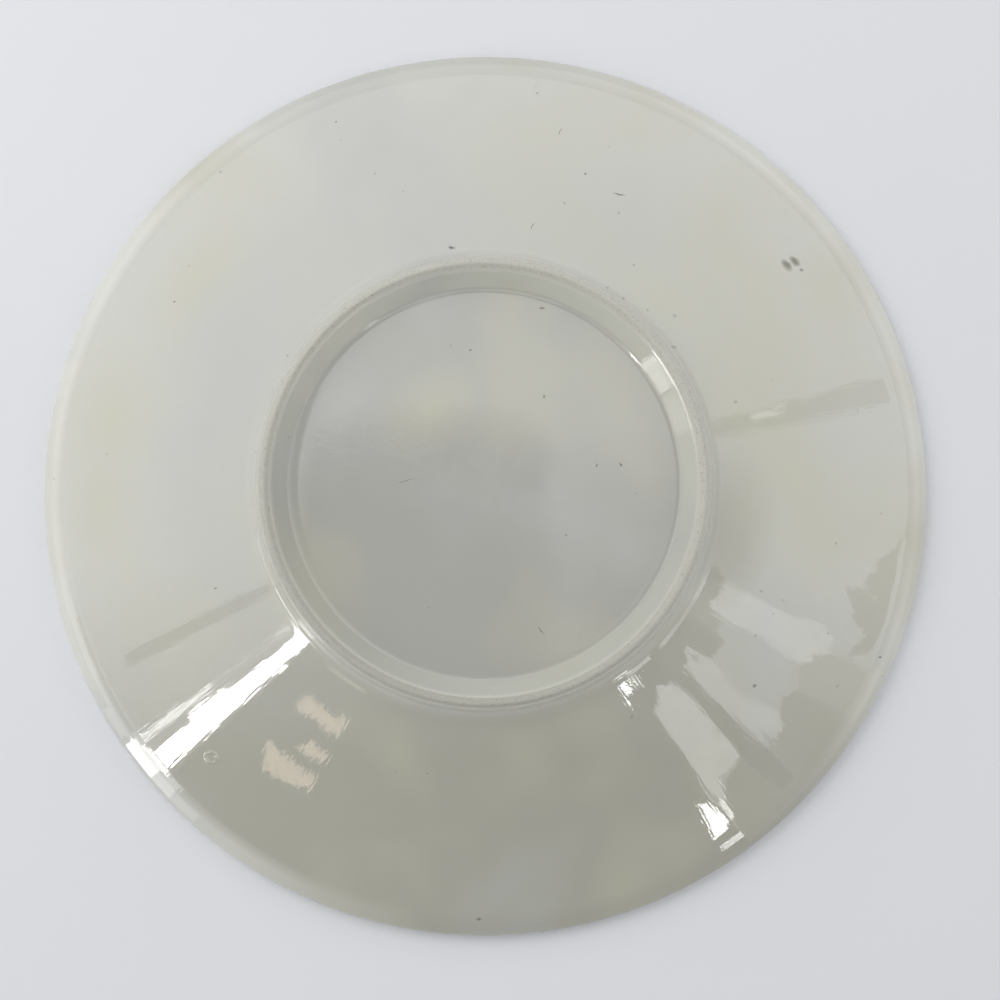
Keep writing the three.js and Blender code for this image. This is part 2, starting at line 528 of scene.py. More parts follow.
# Sizes of the patterns. The picture shows nothing finer than 0.16 mm, a pixel's width. The clay's grit is
# 0.1 mm and the streaks in the glaze are 0.2 mm wide, too fine to show, so both are drawn coarser, two
# pixels wide. So are the pinholes, whose largest radius is a share of their spacing.
CLOUD_SIZE = 30 * MM
CRUMB_SIZE = 0.9 * MM
CRUMB_REACH = 0.3 * MM
GRIT_SIZE = 0.3 * MM
GRIT_HEIGHT = 0.04 * MM
PEEL_SIZE = 1.2 * MM
STREAK_SIZE = 0.35 * MM
PINHOLE_SPACING = 4.2 * MM
LARGEST_PINHOLE = 0.07

# Along the run of the glaze a pattern is drawn out eightfold; across it, it is true to size at 50 mm
RUN_RADIUS = 50 * MM
RUN_STRETCH = 0.125

# How deep under the surface the marks go, so that the curved skin never leaves them
MARK_REACH = 1 * MM
TEAR_REACH = 3 * MM
POOL_REACH = 9 * MM

# What the marks do to the glaze: table, share of a mark that is fully dark, darkest tone, and colour
MARK_TONES = (
    (DARK_SPECKS, 0.3, 1, "grime"),
    (FAINT_SPECKS, 0.3, 0.45, "grime"),
    (SCRATCHES, 0.5, 1, "grime"),
    (IRON_SPOTS, 0.35, 1, "stain"),
)


def underside_height(radius, sizes):
    """Height of the finished underside at a radius."""
    if radius < sizes.foot_inner_radius:
        return recess_high.z - sizes.glaze_thickness
    return sizes.foot_wall_height + (radius - sizes.foot_wall_radius) * math.tan(sizes.flange_slope)


def distance_to_mark(tree, place, mark, sizes, reach):
    """Distance from a mark's middle, 1 at its outline; reach is how far it goes into the glaze."""
    radius, turn, length, width, lie = mark
    radius *= MM
    turn = math.radians(turn)
    middle = (radius * math.cos(turn), -radius * math.sin(turn), underside_height(radius, sizes))
    inside = add(tree, "Mapping", {
        "Vector": place,
        "Location": middle,
        "Rotation": (0, 0, -math.radians(lie)),
        "Scale": (length * MM, width * MM, reach),
    }, vector_type="TEXTURE")
    return add(tree, "VectorMath", {0: inside[0]}, operation="LENGTH")["Value"]


def marks(tree, place, table, sizes, reach, core, most=1.0):
    """Where any mark of a table lies: most inside its core, and falling to 0 at its outline."""
    found = None
    for mark in table:
        distance = distance_to_mark(tree, place, mark, sizes, reach)
        here = add(tree, "MapRange", {
            "Value": distance, "From Min": 1.0, "From Max": core, "To Max": most})[0]
        if found is not None:
            here = add(tree, "Math", {0: found, 1: here}, operation="MAXIMUM")[0]
        found = here
    return found


def leaning(tree, place, turn, start, end, most=1.0):
    """How far a place lies towards one side of the saucer, from 0 at start to most at end."""
    direction = (math.cos(math.radians(turn)), -math.sin(math.radians(turn)), 0)
    along = add(tree, "VectorMath", {0: place, 1: direction}, operation="DOT_PRODUCT")["Value"]
    return add(tree, "MapRange", {
        "Value": along, "From Min": start, "From Max": end, "To Max": most})[0]


def grit_and_wear(tree, place, most):
    """Fine grain of bare clay, and the pores in it that hold grime, as dark as most."""
    grit = add(tree, "TexNoise", {
        "Vector": place, "Scale": 1 / GRIT_SIZE, "Detail": 2.0, "Roughness": 0.6})["Fac"]
    worn = add(tree, "MapRange", {"Value": grit, "From Min": 0.56, "From Max": 0.7, "To Max": most})[0]
    return grit, worn


# Materials

def glaze_material(name, sizes, colours, in_recess):
    """Lead glaze, dipped and fired over cream earthenware.

    It gives the eye a wet, slightly wavy glass skin that mirrors sharply over a soft cream ground. The
    ground is yellower where the glaze pooled and greyer where it lies thin."""
    material, tree = new_material(name)
    surface = add(tree, "TexCoord")
    place = surface["Object"]
    height = add(tree, "SeparateXYZ", {"Vector": place})["Z"]

    # Every mark's outline is crumbled a little, so that none is a clean oval
    crumble = add(tree, "TexNoise", {"Vector": place, "Scale": 1 / CRUMB_SIZE, "Detail": 2.0})
    rough_place = add(tree, "VectorMath", {
        0: crumble["Color"], 1: (2 * CRUMB_REACH,) * 3, 2: place}, operation="MULTIPLY_ADD")
    rough_place = add(tree, "VectorMath", {
        0: rough_place[0], 1: (CRUMB_REACH,) * 3}, operation="SUBTRACT")[0]

    # Ripples in the glaze lie along its run from the middle outwards
    flat = add(tree, "VectorMath", {0: place, 1: (1, 1, 0)}, operation="MULTIPLY")[0]
    radius = add(tree, "VectorMath", {0: flat}, operation="LENGTH")["Value"]
    towards = add(tree, "VectorMath", {0: flat}, operation="NORMALIZE")[0]
    drawn_out = add(tree, "Math", {0: radius, 1: RUN_STRETCH}, operation="MULTIPLY")[0]
    drawn_out = add(tree, "CombineXYZ", {"Z": drawn_out})[0]
    run_place = add(tree, "VectorMath", {
        0: towards, 1: (RUN_RADIUS,) * 3, 2: drawn_out}, operation="MULTIPLY_ADD")[0]

    # The glaze pools and thins in soft clouds a few centimetres wide
    clouds = add(tree, "TexNoise", {"Vector": place, "Scale": 1 / CLOUD_SIZE, "Detail": 2.5})["Fac"]
    thick = add(tree, "MapRange", {"Value": clouds, "From Min": 0.52, "From Max": 0.85})[0]
    thin = add(tree, "MapRange", {"Value": clouds, "From Min": 0.47, "From Max": 0.2})[0]
    pools = marks(tree, place, POOLS, sizes, POOL_REACH, 0.0, 0.7)
    thick = add(tree, "Math", {0: thick, 1: pools}, operation="MAXIMUM")[0]

    # Coats of colour, each a share and a colour laid over those before it
    if in_recess:
        # Painted light: the glaze is paler on two sides of the foot's inner wall
        pooled = leaning(tree, place, 75, -12 * MM, 18 * MM)
        second = leaning(tree, place, 300, 6 * MM, 28 * MM, 0.55)
        pooled = add(tree, "Math", {0: pooled, 1: second}, operation="MAXIMUM")[0]
        wall = add(tree, "MapRange", {
            "Value": height, "From Min": 4.15 * MM, "From Max": 3.7 * MM})[0]
        pooled = add(tree, "Math", {0: pooled, 1: wall}, operation="MULTIPLY")[0]
        # Painted shade: the recess is darker than the rest of the glaze
        base = colours.recess_painted_shade
        coats = [(pooled, colours.recess_painted_light)]
    else:
        # Paler towards the rim. Painted shade darkens the side towards turn 270 and a patch of the underside
        rim = outer_high.x
        outwards = add(tree, "MapRange", {
            "Value": radius, "From Min": rim - 26 * MM, "From Max": rim - 2 * MM, "To Max": 0.3})[0]
        facing = add(tree, "SeparateXYZ", {"Vector": surface["Normal"]})["Z"]
        underside = add(tree, "MapRange", {"Value": facing, "From Min": 0.0, "From Max": -0.2})[0]
        painted_patches = marks(tree, place, PAINTED_SHADE_PATCHES, sizes, POOL_REACH, 0.3, 0.85)
        painted_patches = add(tree, "Math", {0: painted_patches, 1: underside}, operation="MULTIPLY")[0]
        painted_dark_side = leaning(tree, place, 270, 12 * MM, 42 * MM, 0.85)
        painted_dark_side = add(tree, "Math", {0: painted_dark_side, 1: painted_patches}, operation="MAXIMUM")[0]

        # Painted light: palest over the lip's edge to the left and right, and round the foot
        lip = add(tree, "MapRange", {
            "Value": radius, "From Min": rim - 3.8 * MM, "From Max": rim - 1.8 * MM})[0]
        left = leaning(tree, place, 185, 15 * MM, 55 * MM)
        right = leaning(tree, place, 20, 30 * MM, 60 * MM)
        sides = add(tree, "Math", {0: left, 1: right}, operation="MAXIMUM")[0]
        lip = add(tree, "Math", {0: lip, 1: sides}, operation="MULTIPLY")[0]
        foot = add(tree, "MapRange", {
            "Value": height, "From Min": 4.4 * MM, "From Max": 3.2 * MM, "To Max": 0.45})[0]
        pale = add(tree, "Math", {0: lip, 1: foot}, operation="MAXIMUM")[0]
        base = colours.glaze
        coats = [(outwards, colours.rim_tint_and_painted_light), (painted_dark_side, colours.glaze_painted_shade), (pale, colours.rim_tint_and_painted_light)]
    coats += [(thick, colours.glaze_pooled), (thin, colours.glaze_grey)]

    # Pinholes where gas left the clay, each with a little grime in it
    cells = add(tree, "TexVoronoi", {"Vector": rough_place, "Scale": 1 / PINHOLE_SPACING})
    chance = add(tree, "SeparateColor", {"Color": cells["Color"]})[0]
    pit_size = add(tree, "Math", {0: chance, 1: LARGEST_PINHOLE}, operation="MULTIPLY")[0]
    pits = add(tree, "Math", {0: cells["Distance"], 1: pit_size}, operation="DIVIDE")[0]
    pits = add(tree, "MapRange", {"Value": pits, "From Min": 1.0, "From Max": 0.4})[0]
    pit_tone = add(tree, "Math", {0: pits, 1: 0.4}, operation="MULTIPLY")[0]
    coats.append((pit_tone, colours.grime))
    for table, core, most, colour in MARK_TONES:
        share = marks(tree, rough_place, table, sizes, MARK_REACH, core, most)
        coats.append((share, getattr(colours, colour)))

    # Towards the wiped foot the glaze thins out and the gritty clay comes through
    grit, worn = grit_and_wear(tree, place, 0.1)
    clay = add(tree, "Mix", {
        MIX_FACTOR: worn, MIX_A: colours.biscuit, MIX_B: colours.grime}, data_type="RGBA")[MIX_RESULT]
    thin_from = (0.85 if in_recess else 1.3) * MM
    wiped = add(tree, "MapRange", {"Value": height, "From Min": thin_from, "From Max": 0.5 * MM})[0]
    ragged = add(tree, "Math", {0: grit, 1: 1.6, 2: -0.8}, operation="MULTIPLY_ADD")[0]
    wiped = add(tree, "Math", {0: wiped, 1: ragged}, operation="ADD", use_clamp=True)[0]
    near_foot = add(tree, "MapRange", {
        "Value": height, "From Min": thin_from + 0.2 * MM, "From Max": thin_from - 0.2 * MM})[0]
    wiped = add(tree, "Math", {0: wiped, 1: near_foot}, operation="MULTIPLY")[0]
    coats.append((wiped, clay))
    for share, colour in coats:
        base = add(tree, "Mix", {
            MIX_FACTOR: share, MIX_A: base, MIX_B: colour}, data_type="RGBA")[MIX_RESULT]
    roughness = add(tree, "MapRange", {"Value": wiped, "To Min": 0.015, "To Max": 0.4})[0]

    # Orange peel and fine streaks along the run, the raised rim of a burst bubble, and a tear of run glaze
    peel = add(tree, "TexNoise", {
        "Vector": run_place, "Scale": 1 / PEEL_SIZE, "Detail": 1.0, "Roughness": 0.4})["Fac"]
    streaks = add(tree, "TexNoise", {
        "Vector": run_place, "Scale": 1 / STREAK_SIZE, "Detail": 1.0})["Fac"]
    bubble = distance_to_mark(tree, place, BURST_BUBBLE, sizes, MARK_REACH)
    collar = add(tree, "MapRange", {"Value": bubble, "From Min": 1.1, "From Max": 0.8})[0]
    hollow = add(tree, "MapRange", {"Value": bubble, "From Min": 0.75, "From Max": 0.45})[0]
    tear = distance_to_mark(tree, place, TEAR, sizes, TEAR_REACH)
    tear = add(tree, "MapRange", {
        "Value": tear, "From Min": 1.0, "From Max": 0.0}, interpolation_type="SMOOTHSTEP")[0]

    # Each with its height in millimetres
    relief = 0.0
    for share, rise in (
            (peel, 0.003), (streaks, 0.0035), (pits, -0.02), (collar, 0.05), (hollow, -0.07), (tear, 0.06)):
        relief = add(tree, "Math", {0: share, 1: rise, 2: relief}, operation="MULTIPLY_ADD")[0]
    bump = add(tree, "Bump", {"Height": relief, "Strength": 1.0, "Distance": MM})

    # Lead glass bends light more than window glass, so it mirrors more brightly
    shader = add(tree, "BsdfPrincipled", {
        "Base Color": base,
        "Roughness": roughness,
        "IOR": 1.6,
        "Normal": bump["Normal"],
    })
    add(tree, "OutputMaterial", {"Surface": shader["BSDF"]})
    return material


def biscuit_material(name, colours):
    """Fired earthenware clay, trimmed on the wheel, wiped and worn bare.

    It gives the eye a dull, gritty, off-white surface with grey worked into its pores."""
    material, tree = new_material(name)
    place = add(tree, "TexCoord")["Object"]
    grit, worn = grit_and_wear(tree, place, 0.4)

    # Grey is mixed into the crest more towards turn 250
    greyer_side = leaning(tree, place, 250, -5 * MM, 30 * MM, 0.25)
    base = colours.biscuit
    for share in (worn, greyer_side):
        base = add(tree, "Mix", {
            MIX_FACTOR: share, MIX_A: base, MIX_B: colours.grime}, data_type="RGBA")[MIX_RESULT]
    bump = add(tree, "Bump", {"Height": grit, "Strength": 1.0, "Distance": GRIT_HEIGHT})
    shader = add(tree, "BsdfPrincipled", {
        "Base Color": base,
        "Roughness": 0.6,
        "IOR": 1.5,
        "Normal": bump["Normal"],
    })
    add(tree, "OutputMaterial", {"Surface": shader["BSDF"]})
    return material


def spin_glaze(surface, clay, buried, thinned, sizes):
    """Spins a skin from its surface over its feather edge, below the height thinned, to its buried side."""
    edge = side_at(surface, sizes.bare_height)
    outline = [
        *surface[:-1],
        corner(edge.x, edge.z),
        *reversed(thinning(surface, clay, thinned, sizes)),
        *reversed(buried),
    ]
    bm, waves = spin_outline(outline, sizes)
    undulate(bm, waves, sizes.undulation)
    return bm


class SAUCER_OT_clay(bpy.types.Operator):
    """Spins the clay body and the foot ring that is luted into its seat"""

    bl_idname = "saucer.clay"
    bl_label = "Clay body and foot"

    def execute(self, context):
        sizes = context.scene.saucer_sizes
        clay = biscuit_material("earthenware_biscuit", context.scene.saucer_colours)
        glaze = sizes.glaze_thickness
        face = parallel(finished_face(sizes), glaze)
        recess = parallel(finished_recess(sizes), -glaze)
        seat = foot_high.z
        seat_inner = SEAT_INNER_RADIUS
        seat_outer = foot_high.x
        fillet = face[-3]
        rise = math.tan(sizes.flange_slope)
        flange_at_seat = fillet["at"].z + (seat_outer - fillet["at"].x) * rise
        body = [
            *face[:-3],
            corner(seat_outer, flange_at_seat),
            corner(seat_outer, seat),
            corner(seat_inner, seat),
            corner(seat_inner, recess[0]["at"].z),
            recess[0],
        ]
        bm, _ = spin_outline(body, sizes)
        finish_piece(bm, "turned_body", clay, "clay_body")
        outer_end = thinning(finished_face(sizes), face, sizes.thinned_outside, sizes)
        inner_end = thinning(finished_recess(sizes), recess, sizes.thinned_inside, sizes)
        ring = [
            corner(seat_outer, seat),
            corner(seat_outer, flange_at_seat),
            fillet,
            *outer_end,
            corner(sizes.foot_outer_radius - sizes.foot_bevel - SINK, 0, sizes.crest_outer_rounding, ARC),
            corner(sizes.foot_inner_radius + sizes.inner_bevel + SINK, 0, sizes.crest_inner_rounding, ARC),
            *reversed(inner_end),
            recess[2],
            recess[1],
            corner(seat_inner, recess[0]["at"].z),
            corner(seat_inner, seat),
        ]
        bm, _ = spin_outline(ring, sizes)
        finish_piece(bm, "luted_foot", clay, "foot_ring")
        return {"FINISHED"}


class SAUCER_OT_outer_glaze(bpy.types.Operator):
    """Spins the glaze skin over face, rim, flange and the foot's outer wall"""

    bl_idname = "saucer.outer_glaze"
    bl_label = "Outer glaze"

    def execute(self, context):
        sizes = context.scene.saucer_sizes
        face = finished_face(sizes)
        clay = parallel(face, sizes.glaze_thickness)

        # The glaze thins out above the foot's shoulder, so the clay's corner there is none of the skin's
        bm = spin_glaze(face, clay, clay[:-2], sizes.thinned_outside, sizes)
        glaze = glaze_material("cream_lead_glaze", sizes, context.scene.saucer_colours, False)
        finish_piece(bm, "outer_glaze_skin", glaze, "outer_glaze")
        return {"FINISHED"}


class SAUCER_OT_recess_glaze(bpy.types.Operator):
    """Spins the glaze skin over the base inside the foot ring"""

    bl_idname = "saucer.recess_glaze"
    bl_label = "Recess glaze"

    def execute(self, context):
        sizes = context.scene.saucer_sizes
        recess = finished_recess(sizes)
        clay = parallel(recess, -sizes.glaze_thickness)
        bm = spin_glaze(recess, clay, clay[:-1], sizes.thinned_inside, sizes)
        glaze = glaze_material("cream_lead_glaze_recess", sizes, context.scene.saucer_colours, True)
        finish_piece(bm, "recess_glaze_skin", glaze, "recess_glaze")
        return {"FINISHED"}


# Stage

# The eye looks up at the underside. Its place and aim are measured from the middle of the rim's plane.
EYE_OFFSET = Vector((3.4 * MM, 29.6 * MM, -420 * MM))
AIM_OFFSET = Vector((2.32 * MM, 1.28 * MM, 0))
PICTURE_PIXELS = 1000
FOCAL_PIXELS = 2640
SENSOR_WIDTH = 36.0

# Floors in metres. The picture's floor starts just under the rim, so that light from above reaches the
# saucer's face, and both floors keep a hair's breadth from the saucer.
PICTURE_FLOOR_START = cad_high.x - 1.3 * MM
PICTURE_FLOOR_END = 1.5
PICTURE_FLOOR_FACETS = 180
STANDING_FLOOR_SIZE = Vector((8, 8, 0.01))
FLOOR_GAP = 0.01 * MM

# What looks up has passed more faces of the standing floor than this, and all else fewer
FACES_PASSED = 1.5

# Distances from the saucer's middle between which the standing floor goes over to its own colour
OWN_COLOUR_FROM = 0.18
OWN_COLOUR_TO = 0.9


def around(turn, tilt, distance):
    """A place round the saucer: turn as the picture shows it, tilt away from straight down, in degrees."""
    turn, tilt = math.radians(turn), math.radians(tilt)
    across = distance * math.sin(tilt)
    return Vector((across * math.cos(turn), -across * math.sin(turn), -distance * math.cos(tilt)))


def floor_paint(name, colour, for_views_below):
    """Matt pale paint that is there only for what is seen from one side of the saucer.

    The standing floor is a slab, see-through from below. Whatever is seen from below has passed both of
    its faces, so it meets the picture's floor and not this one. All else meets only this one."""
    material, tree = new_material(name)
    path = add(tree, "LightPath")
    passed = path["Transparent Depth"]
    paint = add(tree, "BsdfDiffuse", {"Color": colour})[0]
    if for_views_below:
        there = add(tree, "Math", {0: passed, 1: FACES_PASSED}, operation="GREATER_THAN")[0]
    else:
        from_above = add(tree, "Math", {0: passed, 1: FACES_PASSED}, operation="LESS_THAN")[0]
        facing = add(tree, "NewGeometry")["Normal"]
        upwards = add(tree, "SeparateXYZ", {"Vector": facing})["Z"]
        upper_side = add(tree, "Math", {0: upwards, 1: 0.0}, operation="GREATER_THAN")[0]
        there = add(tree, "Math", {0: from_above, 1: upper_side}, operation="MULTIPLY")[0]

        # Away from the saucer the paint shows its own colour, so that the floor is pale to the horizon
        place = add(tree, "TexCoord")["Object"]
        away = add(tree, "VectorMath", {0: place}, operation="LENGTH")["Value"]
        away = add(tree, "MapRange", {
            "Value": away, "From Min": OWN_COLOUR_FROM, "From Max": OWN_COLOUR_TO},
            interpolation_type="SMOOTHSTEP")[0]
        seen = add(tree, "Math", {
            0: path["Is Camera Ray"], 1: path["Is Glossy Ray"]}, operation="MAXIMUM")[0]
        share = add(tree, "Math", {0: away, 1: seen}, operation="MULTIPLY")[0]
        glow = add(tree, "Emission", {"Color": colour, "Strength": 1.0})[0]
        paint = add(tree, "MixShader", {0: share, 1: paint, 2: glow})[0]
        material.cycles.emission_sampling = "NONE"
    clear = add(tree, "BsdfTransparent")[0]
    both = add(tree, "MixShader", {0: there, 1: clear, 2: paint})[0]
    add(tree, "OutputMaterial", {"Surface": both})
    return material


def stage_object(bm, name, material):
    """Turns a bmesh into an object that belongs to the stage and not to the saucer."""
    obj = new_object(bm, name, material)
    return obj


# Power in watts of a lamp for each square metre and unit of radiance
LAMP_POWER = 4


def soft_lamp(name, place, target, width, radiance, mirrored):
    """A square soft lamp that faces the saucer."""
    light = bpy.data.lights.new(name, "AREA")
    light.shape = "SQUARE"
    light.size = width
    light.energy = radiance * LAMP_POWER * width * width
    lamp = bpy.data.objects.new(name, light)
    bpy.context.scene.collection.objects.link(lamp)
    lamp.location = place
    lamp.rotation_mode = "QUATERNION"
    lamp.rotation_quaternion = (target - place).to_track_quat("-Z", "Y")
    lamp.visible_camera = False
    lamp.visible_glossy = mirrored


def reflector(name, places, radiance, columns=1, rows=1, colour="#ffffff"):
    """A glowing board under the saucer that only the glaze mirrors; places bends a unit square to it."""
    bm = bmesh.new()
    bmesh.ops.create_grid(bm, x_segments=columns, y_segments=rows, size=0.5)
    for vert in bm.verts:
        vert.co = places(vert.co.x + 0.5, vert.co.y + 0.5)
    material, tree = new_material(name)
    glow = add(tree, "Emission", {"Color": linear(colour), "Strength": radiance})
    add(tree, "OutputMaterial", {"Surface": glow[0]})
    material.cycles.emission_sampling = "NONE"
    obj = stage_object(bm, name, material)
    obj.visible_camera = False
    obj.visible_diffuse = False
    obj.visible_transmission = False
    obj.visible_shadow = False


# Columns and rows of a far board and columns of a strip round the lip, which bend round the saucer
FAR_BOARD_GRID = (60, 30)
STRIP_COLUMNS = 24

# Height of the boards beside the lens, and the gap between one and the next
NEAR_PLANE = -392 * MM
LAYER_GAP = 0.1 * MM


def near_lens(top, top_left, top_right, bottom, bottom_left, bottom_right, layer):
    """Places of a level board beside the lens, in millimetres from the axis as the picture shows it."""
    def place(along, out):
        left = bottom_left + (top_left - bottom_left) * out
        right = bottom_right + (top_right - bottom_right) * out
        x = left + (right - left) * along
        y = bottom + (top - bottom) * out
        return Vector((x * MM, -y * MM, NEAR_PLANE + layer * LAYER_GAP))
    return place


def beside_lip(start, end, radius, low, high):
    """Places of an upright strip round the lip; turns in degrees, lengths in millimetres."""
    def place(along, out):
        turn = math.radians(start + (end - start) * along)
        height = low + (high - low) * out
        return Vector((radius * MM * math.cos(turn), -radius * MM * math.sin(turn), height * MM))
    return place


def far_off(inner, outer, distance):
    """Places of a far board, from the (turn, tilt) of both ends of its inner and its outer edge."""
    def place(along, out):
        near = Vector(inner[0]).lerp(Vector(inner[1]), along)
        far = Vector(outer[0]).lerp(Vector(outer[1]), along)
        turn, tilt = near.lerp(far, out)
        return around(turn, tilt, distance)
    return place


# What the glaze mirrors under the saucer: name, the (turn, tilt) of the inner edge's ends and of the outer
# edge's ends in degrees, distance in metres, radiance, and colour if it isn't white. Nearer boards hide
# those behind them.
REFLECTORS = (
    ("ceiling", ((-51, 0.2), (218, 0.2)), ((-51, 11), (218, 11)), 40, 2, "#fdfeff"),
    ("pale_room", ((-51, 48), (218, 48)), ((-51, 64), (218, 64)), 40, 2, "#fdfeff"),
    ("pale_room_low", ((45, 64), (193, 64)), ((45, 89.5), (193, 89.5)), 40, 1.3, "#fdfeff"),
    ("pale_room_right", ((-51, 64), (45, 64)), ((-51, 89.5), (45, 89.5)), 40, 1, "#fdfeff"),
    ("far_ceiling", ((200, 14), (312, 14)), ((200, 46), (312, 46)), 40, 1.8, "#fdfeff"),
    ("low_window", ((202.8, 75), (213.6, 75)), ((202.8, 84), (213.6, 84)), 39, 9),
    ("low_window_end", ((211.6, 76), (213.6, 76)), ((211.6, 79), (213.6, 79)), 38.5, 24),
    ("low_window_side", ((190, 74), (201.8, 74)), ((190, 84), (201.8, 84)), 39, 4),
    ("left_streak", ((199.6, 53), (202.4, 52.7)), ((199.9, 56.6), (201.9, 56.6)), 39, 0.9, "#f4f2ec"),
    ("lamp", ((214.6, 50), (217.2, 50)), ((214.5, 57.05), (217.2, 57.05)), 38, 90),
    ("lamp_corner", ((213.9, 54.3), (215, 54.3)), ((213.3, 55.2), (215, 55.2)), 38, 90),
    ("lamp_foot", ((213.6, 58.2), (218, 58.2)), ((213, 69), (218.5, 69)), 38, 11),
    ("lamp_foot_glow", ((211, 60), (221, 60)), ((211, 72), (221, 72)), 38.5, 3),
    ("side_lamp_low", ((210.2, 51.5), (212.4, 51.5)), ((211, 52.9), (212.2, 52.9)), 38, 5),
    ("side_lamp_rim", ((211.2, 52.9), (212, 52.9)), ((211.2, 54.6), (212, 54.6)), 38, 3),
    ("side_lamp_high", ((211.4, 54.6), (212.2, 54.6)), ((210.8, 60), (213, 60)), 38, 9),
    ("pane_low", ((225.6, 52.4), (237, 51.8)), ((226, 52.7), (237, 52.2)), 38, 4.2, "#ffe9d4"),
    ("pane_middle", ((232.6, 52.8), (236.9, 52.6)), ((230.5, 53.2), (236.9, 52.9)), 38, 4.2, "#ffe9d4"),
    ("pane_high", ((225.5, 53.7), (237.1, 53.2)), ((228.4, 54.1), (237.1, 53.5)), 38, 4.2, "#ffe9d4"),
    ("second_lamp_low", ((305.4, 50.4), (308.2, 50.5)), ((306.2, 51.1), (308.2, 51.2)), 38, 16),
    ("second_lamp_low_edge", ((309.4, 50.5), (310.3, 50.6)), ((309.4, 51.2), (310.3, 51.3)), 38, 9),
    ("second_lamp_high", ((306.4, 53.8), (308, 53.9)), ((305.4, 54.9), (308, 54.9)), 38, 16),
    ("second_lamp_high_edge", ((309.2, 53.8), (310.5, 53.9)), ((309.1, 55), (310.6, 55)), 38, 9),
    ("second_lamp_foot", ((305.5, 62), (309.5, 62)), ((305.5, 75), (309.5, 75)), 38, 7),
    ("shaded_low", ((309, 45), (331, 45)), ((309, 51.7), (331, 52.6)), 39, 0.4, "#fffaf0"),
    ("shaded_foot", ((331, 45), (345, 45)), ((331, 52.7), (345, 52.9)), 39, 1, "#fffaf0"),
    ("shaded_high", ((309.5, 54), (331, 54.7)), ((309.5, 85), (331, 85)), 39, 1, "#fff6e8"),
    ("shaded_right", ((331, 54.7), (339, 55.1)), ((331, 85), (339, 85)), 39, 1.5, "#fff6e8"),
    ("lit_wall_left", ((309.2, 51.6), (317, 51.9)), ((309.2, 53.8), (317, 54.1)), 38.5, 3.4),
    ("lit_wall_middle", ((320.6, 51.8), (325, 52)), ((320.6, 54.2), (325.5, 54.5)), 38.5, 2.8),
    ("lit_wall_right", ((335.3, 52.4), (342.1, 52.9)), ((335.1, 54.9), (341.9, 55.3)), 38.5, 3.2),
    ("right_streak", ((316.8, 50), (320.2, 50)), ((317.4, 56), (320.4, 56)), 38, 0.5, "#fff6e8"),
    ("dark_patch", ((339.2, 55.7), (354.7, 56.7)), ((342.3, 57), (359.7, 58.2)), 38, 0.9, "#fff0dc"),
    ("wall_edge_gap", ((18.3, 55.8), (19.9, 55.9)), ((18.5, 56.4), (20.1, 56.5)), 37.8, 3),
    ("wall_edge", ((16.5, 54.9), (20.6, 55.3)), ((16.5, 58.8), (20.2, 59)), 38, 1.1, "#f8f6f0"),
)

# What the base mirrors beside the lens: name, then top, its left and right, bottom, its left and right in
# millimetres, and radiance. Each board hides those before it, so that the edges are graded.
NEAR_BOARDS = (
    ("dim_right_high", 38, 0, 95, -110, 0, 95, 1.75),
    ("dim_right_middle", 31, 0, 95, -110, 0, 95, 1.5),
    ("dim_right_low", 24, 0, 95, -110, 0, 95, 1.25),
    ("dim_right_foot", 8, 0, 95, -110, 0, 95, 1.05),
    ("dim_corner", 0, 26, 95, -110, 20, 95, 0.6),
    ("dark_edge", 50, -43, 14.5, 43, -58, 17, 1.6),
    ("dark_edge_low", 43, -58, 17, -110, -80, 26, 1.45),
    ("dark_side", 48.6, -43, 13, 42, -56.5, 15.5, 1.1),
    ("dark_side_low", 42, -56.5, 15.5, -110, -78, 24.5, 0.95),
    ("dark_inside", 47.2, -43, 11.5, 41, -55, 14, 0.55),
    ("dark_inside_low", 41, -55, 14, -110, -76, 23, 0.45),
    ("dark_board", 46, -42, 9.5, 40, -53, 12.5, 0.3),
    ("dark_board_low", 40, -53, 12.5, -110, -74, 21.5, 0.2),
)

# What the lip mirrors: name, start and end of a strip's turn in degrees, radius, lower and upper edge in
# millimetres, and radiance. The first keeps the low windows off the lip's edge.
LIP_STRIPS = (
    ("lip_flag", 184, 213.5, 125, 3, 14.5, 1.3),
    ("lip_glow_left", 209, 213.5, 90, 16, 22.6, 1.6),
    ("lip_lamp", 214.5, 220, 90, 10, 22.6, 8),
    ("lip_glow", 220, 223.5, 90, 12, 22.6, 3),
    ("lip_glow_end", 223.5, 228, 90, 14, 22.6, 1.5),
)

# Soft square lamps: name, turn and tilt in degrees, distance and width in metres, radiance, and whether
# the glaze mirrors the lamp
LAMPS = (
    ("key_below", 145, 45, 0.45, 0.4, 1.15, False),
    ("right_below", 22, 66, 0.45, 0.3, 0.8, False),
    ("left_below", 195, 74, 0.5, 0.3, 0.45, False),
    ("key_above", 130, 138, 0.8, 0.45, 3.2, True),
    ("fill_above", 300, 125, 1, 0.6, 0.7, True),
)


def build_world(colours):
    """A pale world: soft light from above, a dimmer one from below, and a plain background."""
    world = bpy.data.worlds.new("studio")
    bpy.context.scene.world = world
    world.use_nodes = True
    tree = world.node_tree
    tree.nodes.clear()
    direction = add(tree, "TexCoord")["Generated"]
    height = add(tree, "SeparateXYZ", {"Vector": direction})["Z"]
    share = add(tree, "MapRange", {"Value": height, "From Min": -0.1, "From Max": 0.1})[0]
    light = add(tree, "Mix", {
        MIX_FACTOR: share, MIX_A: linear("#c2c3c5"), MIX_B: linear("#c4c6c9")}, data_type="RGBA")[MIX_RESULT]
    seen = add(tree, "LightPath")["Is Camera Ray"]
    colour = add(tree, "Mix", {
        MIX_FACTOR: seen, MIX_A: light, MIX_B: colours.floor}, data_type="RGBA")[MIX_RESULT]
    background = add(tree, "Background", {"Color": colour, "Strength": 1.0})
    add(tree, "OutputWorld", {"Surface": background[0]})


